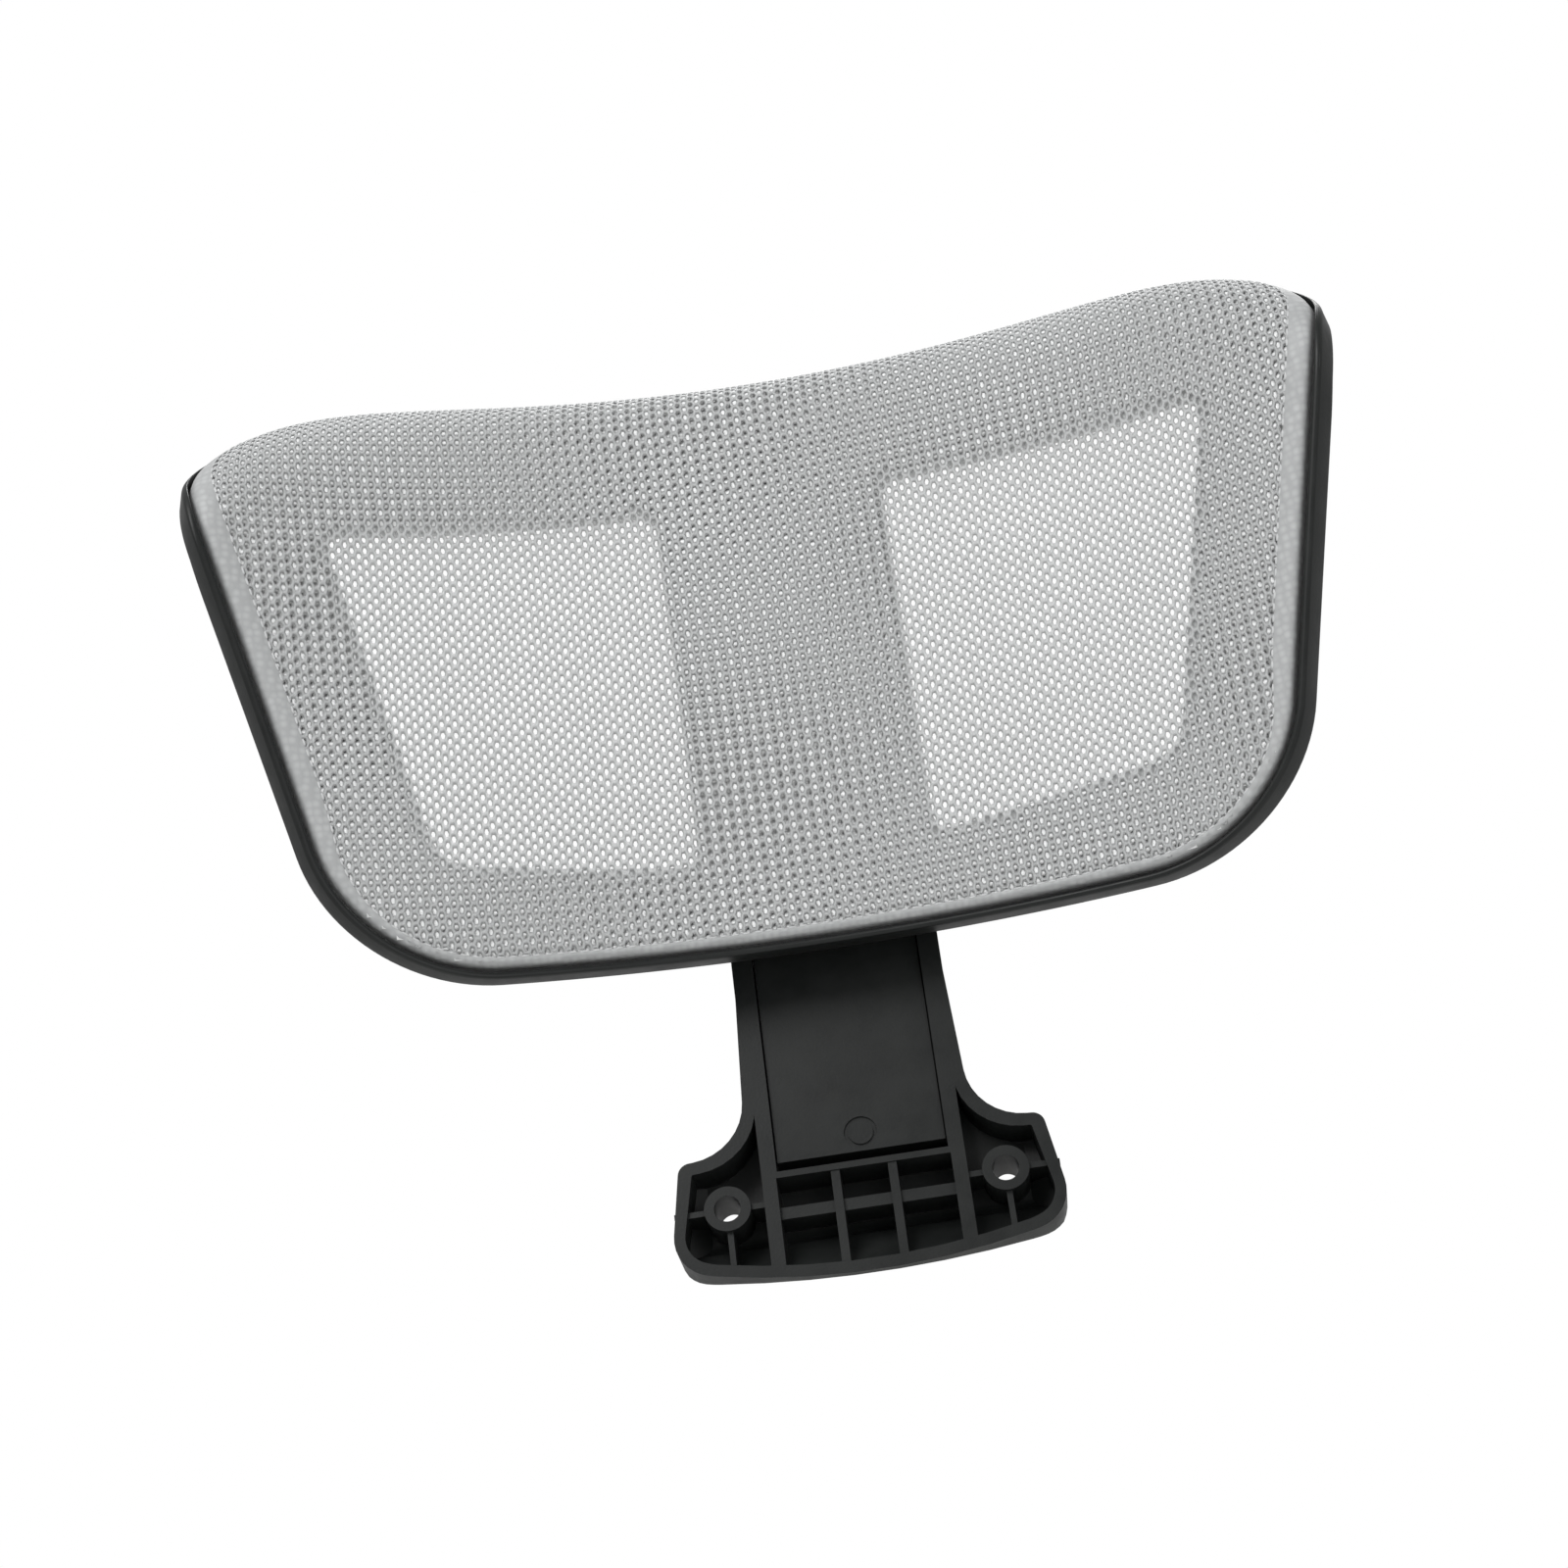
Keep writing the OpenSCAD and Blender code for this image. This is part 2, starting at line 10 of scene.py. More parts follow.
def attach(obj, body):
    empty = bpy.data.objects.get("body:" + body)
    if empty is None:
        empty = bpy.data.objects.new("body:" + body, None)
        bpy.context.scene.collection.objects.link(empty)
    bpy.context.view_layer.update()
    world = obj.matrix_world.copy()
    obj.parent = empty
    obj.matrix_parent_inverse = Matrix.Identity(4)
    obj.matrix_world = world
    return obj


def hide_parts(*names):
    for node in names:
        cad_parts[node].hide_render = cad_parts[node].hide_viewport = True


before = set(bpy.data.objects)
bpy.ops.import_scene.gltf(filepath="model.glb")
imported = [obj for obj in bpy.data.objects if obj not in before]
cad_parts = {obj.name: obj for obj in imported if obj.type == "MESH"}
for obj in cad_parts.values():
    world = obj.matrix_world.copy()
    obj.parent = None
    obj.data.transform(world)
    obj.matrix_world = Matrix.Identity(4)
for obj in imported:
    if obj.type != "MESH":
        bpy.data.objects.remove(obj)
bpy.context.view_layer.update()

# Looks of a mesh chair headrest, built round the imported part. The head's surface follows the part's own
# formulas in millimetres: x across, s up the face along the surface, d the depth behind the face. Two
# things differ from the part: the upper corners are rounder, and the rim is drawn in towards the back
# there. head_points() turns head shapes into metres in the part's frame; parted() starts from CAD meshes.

MM = 0.001
random.seed(7)

# ------------------------------------------------------------------ the head's sizes, mm and degrees

LEAN = 12.3
HEAD_ORIGIN = (0.0, -17.0, 65.0)
HALF_LOW, HALF_HIGH = 124.6, 165.8
LENGTH = 188.0
CORNER_LOW, CORNER_HIGH = 47.5, 37.0
WING_AT, WING_FORWARD = 150.0, 48.8
PLAN_RADIUS = (WING_AT ** 2 + WING_FORWARD ** 2) / (2 * WING_FORWARD)
ROLL_START, ROLL_LOWER = 155.5, 31.8
ROLL_RADIUS, ROLL_OPEN = 18.5, 18.4
ROLL_POWER = 7
# The rim is drawn in by DRAFT mm for each mm of depth, growing from s = DRAFT_FROM over DRAFT_OVER.
DRAFT, DRAFT_FROM, DRAFT_OVER = 0.26, 110.0, 50.0
SLOPE = (HALF_HIGH - HALF_LOW) / LENGTH
STRETCH = math.sqrt(1 + SLOPE * SLOPE)
LOW_CENTRE = HALF_LOW + SLOPE * CORNER_LOW - CORNER_LOW * STRETCH
HIGH_S = LENGTH - CORNER_HIGH
HIGH_CENTRE = HALF_LOW + SLOPE * HIGH_S - CORNER_HIGH * STRETCH
# Corners of the right window as x, s and radius.
WINDOW = [(32.4, 131, 4), (32.4, 26.4, 5), (100, 33, 12), (121.2, 128.6, 5)]
FRAME_SCREWS = [(36, 13), (88, 16), (125, 60), (138.5, 112), (96, 142), (36, 144)]
BRACKET_SCREWS = [(16, 20), (16, 76)]

# Insets from the outline, and depths behind the face.
FABRIC_EDGE = 3.4
SEAM_INSET = 8.8
CARRIER_EDGE = 4.6
CARRIER_DEPTHS = (1.1, 3.5)
CARRIER_BACK = 5.6
FLOOR_DEPTHS = (6.2, 9.2)
# The flat of the hem, inward of HEM_TURN, loses this share of its width along the lower edge, and has
# its whole width from s = HEM_WIDENS_FROM + HEM_WIDENS_OVER on.
HEM_TURN, HEM_NARROWING = 4.7, 0.7
HEM_WIDENS_FROM, HEM_WIDENS_OVER = 12.0, 45.0

# ------------------------------------------------------------------ camera

PHOTO = 1600
FOCAL_PX = 2772.5
PRINCIPAL_SHIFT = (37.0, 75.0)
AIM = Vector((0.0, -0.010, 0.095))
CAMERA_AZIMUTH, CAMERA_ELEVATION, CAMERA_ROLL = 2.21, -27.59, 7.68
CAMERA_DISTANCE = 0.7585


def make_camera():
    """The camera, placed by direction and distance from AIM, with its lens from FOCAL_PX."""
    a, e, r = (math.radians(v) for v in (CAMERA_AZIMUTH, CAMERA_ELEVATION, CAMERA_ROLL))
    back = Vector((math.sin(a) * math.cos(e), -math.cos(a) * math.cos(e), math.sin(e)))
    right = (-back).cross(Vector((0, 0, 1))).normalized()
    up = right.cross(-back)
    side = right * math.cos(r) - up * math.sin(r)
    top = right * math.sin(r) + up * math.cos(r)
    data = bpy.data.cameras.new("camera")
    camera = bpy.data.objects.new("camera", data)
    bpy.context.scene.collection.objects.link(camera)
    turn = Matrix((side, top, back)).transposed().to_4x4()
    camera.matrix_world = Matrix.Translation(AIM + back * CAMERA_DISTANCE) @ turn
    data.sensor_width = 36.0
    data.lens = FOCAL_PX / PHOTO * data.sensor_width
    data.shift_x = -PRINCIPAL_SHIFT[0] / PHOTO
    data.shift_y = PRINCIPAL_SHIFT[1] / PHOTO
    data.clip_start = 0.01
    data.clip_end = 20
    bpy.context.scene.camera = camera


make_camera()

# ------------------------------------------------------------------ materials


class Nodes:
    """A material's node tree with short ways to add what these materials share."""

    def __init__(self, name, colour, roughness, metallic=0.0):
        self.material = bpy.data.materials.new(name)
        self.material.use_nodes = True
        self.tree = self.material.node_tree
        self.shader = self.tree.nodes["Principled BSDF"]
        self.shader.inputs["Base Color"].default_value = (*colour, 1)
        self.shader.inputs["Roughness"].default_value = roughness
        self.shader.inputs["Metallic"].default_value = metallic
        self.place = self.add("ShaderNodeTexCoord").outputs["Object"]
        self.height = None

    def add(self, kind, **values):
        node = self.tree.nodes.new(kind)
        for key, value in values.items():
            setattr(node, key, value)
        return node

    def link(self, a, b):
        self.tree.links.new(a, b)

    def noise(self, scale, detail=4.0, roughness=0.5, stretch=None):
        node = self.add("ShaderNodeTexNoise")
        node.inputs["Scale"].default_value = scale
        node.inputs["Detail"].default_value = detail
        node.inputs["Roughness"].default_value = roughness
        source = self.place
        if stretch:
            mapping = self.add("ShaderNodeMapping")
            mapping.inputs["Scale"].default_value = stretch
            self.link(source, mapping.inputs["Vector"])
            source = mapping.outputs["Vector"]
        self.link(source, node.inputs["Vector"])
        return node.outputs["Fac"]

    def cells(self, scale):
        node = self.add("ShaderNodeTexVoronoi")
        node.inputs["Scale"].default_value = scale
        node.inputs["Randomness"].default_value = 0.35
        self.link(self.place, node.inputs["Vector"])
        return node.outputs["Distance"]

    def spread(self, value, low, high, out_low, out_high):
        node = self.add("ShaderNodeMapRange")
        node.inputs["From Min"].default_value = low
        node.inputs["From Max"].default_value = high
        node.inputs["To Min"].default_value = out_low
        node.inputs["To Max"].default_value = out_high
        self.link(value, node.inputs["Value"])
        return node.outputs["Result"]

    def colour_between(self, value, first, second):
        node = self.add("ShaderNodeMix", data_type="RGBA")
        node.inputs["A"].default_value = (*first, 1)
        node.inputs["B"].default_value = (*second, 1)
        self.link(value, node.inputs["Factor"])
        self.link(node.outputs["Result"], self.shader.inputs["Base Color"])

    def roughness_from(self, value):
        self.link(value, self.shader.inputs["Roughness"])

    def bump(self, value, distance, strength=1.0):
        node = self.add("ShaderNodeBump")
        node.inputs["Distance"].default_value = distance
        node.inputs["Strength"].default_value = strength
        self.link(value, node.inputs["Height"])
        if self.height is not None:
            self.link(self.height, node.inputs["Normal"])
        self.height = node.outputs["Normal"]
        self.link(self.height, self.shader.inputs["Normal"])


def moulded(name, dark, light, rough, grain=1500, grain_depth=0.00005, cloud=45, shine=0.5):
    """Moulded plastic: fine spark grain, cloudy tone and patches that are rubbed smoother."""
    m = Nodes(name, dark, rough)
    m.colour_between(m.spread(m.noise(cloud, 5.0, 0.6), 0.35, 0.7, 0, 1), dark, light)
    m.roughness_from(m.spread(m.noise(cloud * 2, 6.0, 0.65), 0.3, 0.75, rough - 0.09, rough + 0.1))
    m.bump(m.noise(grain, 2.0, 0.6), grain_depth, 0.6)
    m.bump(m.noise(grain * 0.12, 3.0, 0.5), grain_depth * 2, 0.25)
    m.shader.inputs["Specular IOR Level"].default_value = shine
    return m.material


def metal(name, colour, rough, grain=900):
    """Zinc-plated steel with fine drawn lines."""
    m = Nodes(name, colour, rough, 1.0)
    darker = tuple(c * 0.72 for c in colour)
    m.colour_between(m.spread(m.noise(260, 5.0, 0.6), 0.3, 0.75, 0, 1), colour, darker)
    drawn = (0.15, 1, 1)
    m.roughness_from(m.spread(m.noise(grain, 4.0, 0.6, drawn), 0.3, 0.7, rough - 0.1, rough + 0.12))
    m.bump(m.noise(grain, 3.0, 0.5, drawn), 0.00001, 0.5)
    return m.material


def yarn(name, dark, light, rough=0.62, knit=None, through=0.0):
    """Knitted polyester: filament lines across each strand, soft sheen, and loops if closely knit."""
    m = Nodes(name, light, rough)
    fibres = m.noise(2600, 3.0, 0.6, (1.0, 1.0, 0.35))
    if knit:
        loops = m.cells(knit)
        m.colour_between(m.spread(loops, 0.15, 0.6, 1, 0), dark, light)
        m.bump(loops, 0.00025, 0.5)
    else:
        m.colour_between(m.spread(fibres, 0.3, 0.7, 0, 1), dark, light)
    m.roughness_from(m.spread(m.noise(90, 4.0, 0.5), 0.3, 0.7, rough - 0.07, rough + 0.08))
    m.bump(fibres, 0.00004, 0.5)
    m.bump(m.noise(700, 2.0, 0.5), 0.00006, 0.3)
    m.shader.inputs["Sheen Weight"].default_value = 0.12
    m.shader.inputs["Sheen Roughness"].default_value = 0.4
    m.shader.inputs["Subsurface Weight"].default_value = through
    m.shader.inputs["Subsurface Radius"].default_value = (1.0, 1.0, 1.0)
    m.shader.inputs["Subsurface Scale"].default_value = 0.0015
    return m.material


MATERIALS = {
    "black": moulded("black_moulding", (0.0065, 0.0074, 0.0072), (0.0105, 0.0116, 0.0112), 0.42,
                     shine=0.2),
    "grey": moulded("grey_moulding", (0.70, 0.71, 0.712), (0.76, 0.77, 0.772), 0.5, 900, 0.00003),
    "acetal": moulded("acetal", (0.74, 0.74, 0.70), (0.80, 0.80, 0.76), 0.34, 700, 0.00002),
    "friction": moulded("friction_laminate", (0.11, 0.07, 0.045), (0.22, 0.15, 0.10), 0.7,
                        2400, 0.00006, 900),
    "steel": metal("zinc_plate", (0.56, 0.57, 0.58), 0.34),
    "mesh": yarn("mesh_yarn", (0.30, 0.307, 0.309), (0.37, 0.378, 0.38), through=0.5),
    "liner": yarn("liner_yarn", (0.66, 0.67, 0.672), (0.76, 0.77, 0.772), through=0.5),
    "hem": yarn("hem_yarn", (0.285, 0.291, 0.293), (0.345, 0.352, 0.354), 0.6, 480),
    "thread": yarn("seam_thread", (0.38, 0.388, 0.39), (0.47, 0.478, 0.48), 0.5),
    "welt": yarn("welt_cord", (0.010, 0.011, 0.011), (0.018, 0.019, 0.019), 0.7),
}

# ------------------------------------------------------------------ the head's surface


def on_head(x, s, d):
    """Points in the head's own axes, mm, for arrays of x, s and d."""
    x, s, d = np.broadcast_arrays(np.asarray(x, float), np.asarray(s, float), np.asarray(d, float))
    q = (np.abs(x) / WING_AT) ** ROLL_POWER
    start = ROLL_START - ROLL_LOWER * q
    r = ROLL_RADIUS + ROLL_OPEN * q
    a = np.maximum(0, s - start) / r
    b = np.arcsin(x / PLAN_RADIUS)
    n = np.stack([np.sin(b) * np.cos(a), np.cos(b) * np.cos(a), -np.cos(b) * np.sin(a)], -1)
    n /= np.linalg.norm(n, axis=-1, keepdims=True)
    p = np.stack([x, PLAN_RADIUS * (np.cos(b) - 1) + r * (1 - np.cos(a)),
                  np.minimum(s, start) + r * np.sin(a)], -1)
    return p + n * d[..., None]


def head_points(local):
    """The head's own axes in mm to the part's frame in metres."""
    c, k = math.cos(math.radians(LEAN)), math.sin(math.radians(LEAN))
    x, y, z = np.asarray(local, float).reshape(-1, 3).T
    return np.stack([x, y * c - z * k + HEAD_ORIGIN[1], y * k + z * c + HEAD_ORIGIN[2]], -1) * MM


def outline(inset, arc=26, side=34, top=60, bottom=60):
    """Closed path round the head at an inset, as (x, s), the right half first, anticlockwise."""
    tilt = math.atan(SLOPE)
    low = np.linspace(-math.pi / 2, -tilt, arc)
    high = np.linspace(-tilt, math.pi / 2, arc)
    low_arc = np.stack([LOW_CENTRE + (CORNER_LOW - inset) * np.cos(low),
                        CORNER_LOW + (CORNER_LOW - inset) * np.sin(low)], -1)
    high_arc = np.stack([HIGH_CENTRE + (CORNER_HIGH - inset) * np.cos(high),
                         HIGH_S + (CORNER_HIGH - inset) * np.sin(high)], -1)

    def between(a, b, count):
        t = np.linspace(0, 1, count + 1)[1:-1, None]
        return a * (1 - t) + b * t

    flip = np.array([-1.0, 1.0])
    right = np.concatenate([low_arc, between(low_arc[-1], high_arc[0], side), high_arc])
    left = (right * flip)[::-1]
    return np.concatenate([right, between(right[-1], left[0], top), left,
                           between(left[-1], right[0], bottom)])


def eased(t):
    """Smooth step from 0 to 1."""
    t = np.clip(t, 0, 1)
    return t * t * (3 - 2 * t)


def drafted(inset, depth):
    """The outline at an inset, drawn in with depth towards the upper corners and the top."""
    path = outline(inset)
    share = eased((path[:, 1] - DRAFT_FROM) / DRAFT_OVER) * DRAFT
    return moved_in(path, (share * max(0.0, depth))[:, None])


def hem_path(inset, _=0.0):
    """The outline at an inset, with the hem narrower along the lower edge than at the sides."""
    path = outline(inset)
    share = 1 - eased((path[:, 1] - HEM_WIDENS_FROM) / HEM_WIDENS_OVER)
    return moved_in(path, (-HEM_NARROWING * share * max(0.0, inset - HEM_TURN))[:, None])


def window_path(grow=0.0, up=0.0, mirror=False, arc=8, straight=26):
    """Outline of one window as (x, s), anticlockwise."""
    corners = [(WINDOW[0][0] - grow, WINDOW[0][1] + up, WINDOW[0][2]),
               (WINDOW[1][0] - grow, WINDOW[1][1] - grow, WINDOW[1][2]),
               (WINDOW[2][0] + grow, WINDOW[2][1] - grow, WINDOW[2][2]),
               (WINDOW[3][0] + grow, WINDOW[3][1] + up, WINDOW[3][2])]
    arcs = []
    for i, (x, s, r) in enumerate(corners):
        p = np.array((x, s))
        before = np.array(corners[i - 1][:2]) - p
        after = np.array(corners[(i + 1) % 4][:2]) - p
        before /= np.linalg.norm(before)
        after /= np.linalg.norm(after)
        half = math.acos(float(before @ after)) / 2
        middle = (before + after) / np.linalg.norm(before + after)
        centre = p + middle * r / math.sin(half)
        first = p + before * r / math.tan(half) - centre
        turn = math.pi - 2 * half
        t = np.linspace(0, turn, arc)
        arcs.append(centre + np.stack([first[0] * np.cos(t) - first[1] * np.sin(t),
                                       first[0] * np.sin(t) + first[1] * np.cos(t)], -1))
    path = []
    for i, part in enumerate(arcs):
        nxt = arcs[(i + 1) % 4][0]
        t = np.linspace(0, 1, straight + 1)[1:-1, None]
        path += [part, part[-1] * (1 - t) + nxt * t]
    path = np.concatenate(path)
    if mirror:
        path = (path * np.array([-1.0, 1.0]))[::-1]
    return path


def straight_in(inset, _):
    """The outline at an inset, the same at every depth."""
    return outline(inset)


def moved_in(path, distance):
    """An anticlockwise path moved to its left."""
    along = np.roll(path, -1, 0) - np.roll(path, 1, 0)
    along /= np.linalg.norm(along, axis=1, keepdims=True)
    return path + np.stack([-along[:, 1], along[:, 0]], -1) * distance


def inside(points, path):
    """Which points lie within a closed path."""
    x, y = points[:, 0][:, None], points[:, 1][:, None]
    ax, ay = path[:, 0][None], path[:, 1][None]
    bx, by = np.roll(path[:, 0], -1)[None], np.roll(path[:, 1], -1)[None]
    crosses = (ay > y) != (by > y)
    level = np.where(by == ay, 1e-12, by - ay)
    return (crosses & (x < (bx - ax) * (y - ay) / level + ax)).sum(1) % 2 == 1


# ------------------------------------------------------------------ making pieces


def new_piece(name, points, faces, body, material, smooth=40.0):
    """A piece from points in metres in the part's frame, its faces turned outwards."""
    mesh = bpy.data.meshes.new(name)
    mesh.from_pydata(np.asarray(points, float).tolist(), [], [list(map(int, f)) for f in faces])
    work = bmesh.new()
    work.from_mesh(mesh)
    bmesh.ops.recalc_face_normals(work, faces=work.faces)
    work.to_mesh(mesh)
    work.free()
    return place_piece(name, mesh, body, material, smooth)


def place_piece(name, mesh, body, material, smooth=40.0):
    """A piece from a finished mesh, riding on a body; edges sharper than smooth degrees stay sharp."""
    mesh.materials.clear()
    mesh.materials.append(MATERIALS[material])
    mesh.shade_smooth()
    if smooth:
        mesh.set_sharp_from_angle(angle=math.radians(smooth))
    piece = bpy.data.objects.new(name, mesh)
    bpy.context.scene.collection.objects.link(piece)
    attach(piece, body)
    return piece


class Shells:
    """Collects closed shells, in the head's axes, that make up one piece."""

    def __init__(self):
        self.points = []
        self.faces = []
        self.count = 0

    def add(self, points, faces):
        self.points.append(np.asarray(points, float).reshape(-1, 3))
        self.faces += [tuple(i + self.count for i in f) for f in faces]
        self.count += len(self.points[-1])

    def piece(self, name, body, slot, material, smooth=40.0):
        points = head_points(np.concatenate(self.points))
        return new_piece(name, points, self.faces, body, material, smooth)


def swept(section, path_at):
    """A closed section of (inset, depth) corners swept round the closed path path_at(inset, depth)."""
    rings = [on_head(*path_at(inset, depth).T, depth) for inset, depth in section]
    n, m = len(rings[0]), len(section)
    faces = []
    for j in range(m):
        k = (j + 1) % m
        for i in range(n):
            e = (i + 1) % n
            faces.append((j * n + i, j * n + e, k * n + e, k * n + i))
    return np.concatenate(rings), faces


def plate(loops, front, back, radius, step=3.0):
    """A curved plate bounded by anticlockwise loops, the first the outer one, with rounded edges."""
    starts = np.cumsum([0] + [len(p) for p in loops])
    inner = [moved_in(p, radius if i == 0 else -radius) for i, p in enumerate(loops)]
    flat = np.concatenate(inner)
    low, high = flat.min(0), flat.max(0)
    gx, gs = np.meshgrid(np.arange(low[0], high[0], step), np.arange(low[1], high[1], step))
    gx = gx + (np.arange(gx.shape[0])[:, None] % 2) * step / 2
    grid = np.stack([gx.ravel(), gs.ravel()], -1)
    keep = inside(grid, moved_in(inner[0], step * 0.6))
    for hole in inner[1:]:
        keep &= ~inside(grid, moved_in(hole, -step * 0.6))
    flat = np.concatenate([flat, grid[keep]])
    edges = []
    for i, p in enumerate(loops):
        n = len(p)
        edges += [(starts[i] + k, starts[i] + (k + 1) % n) for k in range(n)]
    out = geometry.delaunay_2d_cdt([Vector(p) for p in flat], [tuple(map(int, e)) for e in edges],
                                   [], 0, 1e-5, True)
    place = {}
    for index, origin in enumerate(out[3]):
        for o in origin:
            place[o] = index
    flat = np.array([tuple(v) for v in out[0]])
    tris = np.array([tuple(f) for f in out[2]])
    middle = flat[tris].mean(1)
    keep = inside(middle, inner[0])
    for hole in inner[1:]:
        keep &= ~inside(middle, hole)
    tris = tris[keep]
    count = len(flat)
    points = [on_head(*flat.T, front), on_head(*flat.T, back)]
    faces = [tuple(t) for t in tris] + [tuple(t + count) for t in tris]
    total = 2 * count
    turns = [math.radians(a) for a in (30, 60, 90)]
    profile = [(radius * (1 - math.sin(a)), front + radius * (1 - math.cos(a))) for a in turns]
    profile += [(radius * (1 - math.sin(a)), back - radius * (1 - math.cos(a))) for a in turns[::-1]]
    for i, path in enumerate(loops):
        n = len(path)
        first = [place[int(starts[i]) + k] for k in range(n)]
        rings = [first]
        for offset, depth in profile:
            moved = moved_in(path, offset if i == 0 else -offset)
            points.append(on_head(*moved.T, depth))
            rings.append(list(range(total, total + n)))
            total += n
        rings.append([v + count for v in first])
        for a, b in zip(rings, rings[1:]):
            faces += [(a[k], a[(k + 1) % n], b[(k + 1) % n], b[k]) for k in range(n)]
    return np.concatenate(points), faces


def soft_box(low, high, radius, segments=2):
    """A block with rounded edges, as points and faces in its own axes."""
    work = bmesh.new()
    bmesh.ops.create_cube(work, size=1)
    size = [b - a for a, b in zip(low, high)]
    middle = [(a + b) / 2 for a, b in zip(low, high)]
    for v in work.verts:
        v.co = Vector([c * s + m for c, s, m in zip(v.co, size, middle)])
    bmesh.ops.bevel(work, geom=list(work.edges), offset=radius, segments=segments, profile=0.5,
                    affect="EDGES")
    work.verts.index_update()
    points = [tuple(v.co) for v in work.verts]
    faces = [tuple(v.index for v in f.verts) for f in work.faces]
    work.free()
    return points, faces


def turned(profile, origin, axis, steps=40):
    """A closed (radius, height) profile turned about an axis through origin."""
    axis = Vector(axis).normalized()
    side = axis.orthogonal().normalized()
    other = axis.cross(side)
    points = []
    for i in range(steps):
        t = 2 * math.pi * i / steps
        spoke = side * math.cos(t) + other * math.sin(t)
        points += [tuple(Vector(origin) + spoke * r + axis * h) for r, h in profile]
    m = len(profile)
    faces = []
    for i in range(steps):
        e = (i + 1) % steps
        for j in range(m):
            k = (j + 1) % m
            faces.append((i * m + j, i * m + k, e * m + k, e * m + j))
    return points, faces


# ------------------------------------------------------------------ knitted mesh


def perforated(cells, corner_depth, hole_depth):
    """A closed net from cells, each (corner keys, corner points, hole points) in (x, s).

    Strands have a ridge along the cell borders at corner_depth and thin out to the holes' edges. Three
    six-sided or four four-sided cells meet at a corner inside the net.
    """
    corner_index, corner_places = {}, []
    hole_places = []
    sides = {}
    at_corner = {}
    for c, (keys, corners, hole) in enumerate(cells):
        k = len(keys)
        for i, key in enumerate(keys):
            if key not in corner_index:
                corner_index[key] = len(corner_places)
                corner_places.append(corners[i])
            at_corner.setdefault(key, []).append((c, i))
            pair = (keys[i], keys[(i + 1) % k])
            sides.setdefault(tuple(sorted(pair)), []).append((c, i))
        hole_places.append(hole)
    k = len(cells[0][0])
    full = 3 if k == 6 else 4
    ridges = np.array(corner_places)
    holes = np.array(hole_places).reshape(-1, 2)
    first_hole = len(ridges)
    points = [on_head(*ridges.T, corner_depth), on_head(*holes.T, hole_depth)]
    total = first_hole + len(holes)

    def hole_vertex(cell, i):
        return first_hole + cell * k + i % k

    faces = []
    for c, (keys, _, _) in enumerate(cells):
        for i in range(k):
            faces.append((corner_index[keys[i]], corner_index[keys[(i + 1) % k]],
                          hole_vertex(c, i + 1), hole_vertex(c, i)))
    rear = {}
    rear_places = []

    def rear_vertex(key):
        if key not in rear:
            rear[key] = total + len(rear)
            rear_places.append(ridges[corner_index[key]])
        return rear[key]

    inner_sides = {}
    for pair, users in sides.items():
        if len(users) == 2:
            (a, i), (b, j) = users
            faces.append((hole_vertex(a, i), hole_vertex(b, j + 1), hole_vertex(b, j),
                          hole_vertex(a, i + 1)))
            for key in pair:
                inner_sides.setdefault(key, []).append(users)
        else:
            (a, i), = users
            keys = cells[a][0]
            p, q = keys[i], keys[(i + 1) % k]
            faces.append((hole_vertex(a, i), rear_vertex(p), rear_vertex(q), hole_vertex(a, i + 1)))
            faces.append((corner_index[p], corner_index[q], rear_vertex(q), rear_vertex(p)))
    for key, users in at_corner.items():
        if len(users) == full:
            centre = ridges[corner_index[key]]
            order = sorted(users, key=lambda u: math.atan2(*(np.mean(cells[u[0]][2], 0) - centre)))
            faces.append(tuple(hole_vertex(c, i) for c, i in order))
        elif key in rear:
            for (a, i), (b, j) in inner_sides.get(key, []):
                ia = cells[a][0].index(key)
                ib = cells[b][0].index(key)
                faces.append((hole_vertex(a, ia), hole_vertex(b, ib), rear_vertex(key)))
    if rear_places:
        points.append(on_head(*np.array(rear_places).T, hole_depth))
    return np.concatenate(points), faces


def arc_to_x(u):
    """x at a length u along the head's curve across."""
    return PLAN_RADIUS * math.sin(u / PLAN_RADIUS)


def knit_cells(pitch, rise, right, shrink, keep):
    """Staggered six-sided cells of an open knit, with slightly uneven holes."""
    left = pitch - right
    cells = []
    span = int(200 / pitch)
    for i in range(-span, span + 1):
        for j in range(int(LENGTH / rise) + 2):
            u, s = i * pitch, (j + 0.5 * (i % 2)) * rise
            half = rise / 2
            ring = [(right, 0), (left, half), (-left, half), (-right, 0), (-left, -half), (left, -half)]
            if abs(u) + right > 190:
                continue
            middle = (arc_to_x(u), s)
            if not keep(middle):
                continue
            keys = [(round((u + a) * 40), round((s + b) * 20)) for a, b in ring]
            corners = [(arc_to_x(u + a), s + b) for a, b in ring]
            open_x = shrink[0] * random.uniform(0.9, 1.08)
            open_s = shrink[1] * random.uniform(0.92, 1.06)
            lean = random.uniform(-0.05, 0.05)
            hole = [(arc_to_x(u + a * open_x + b * lean), s + b * open_s) for a, b in ring]
            cells.append((keys, corners, hole))
    return cells


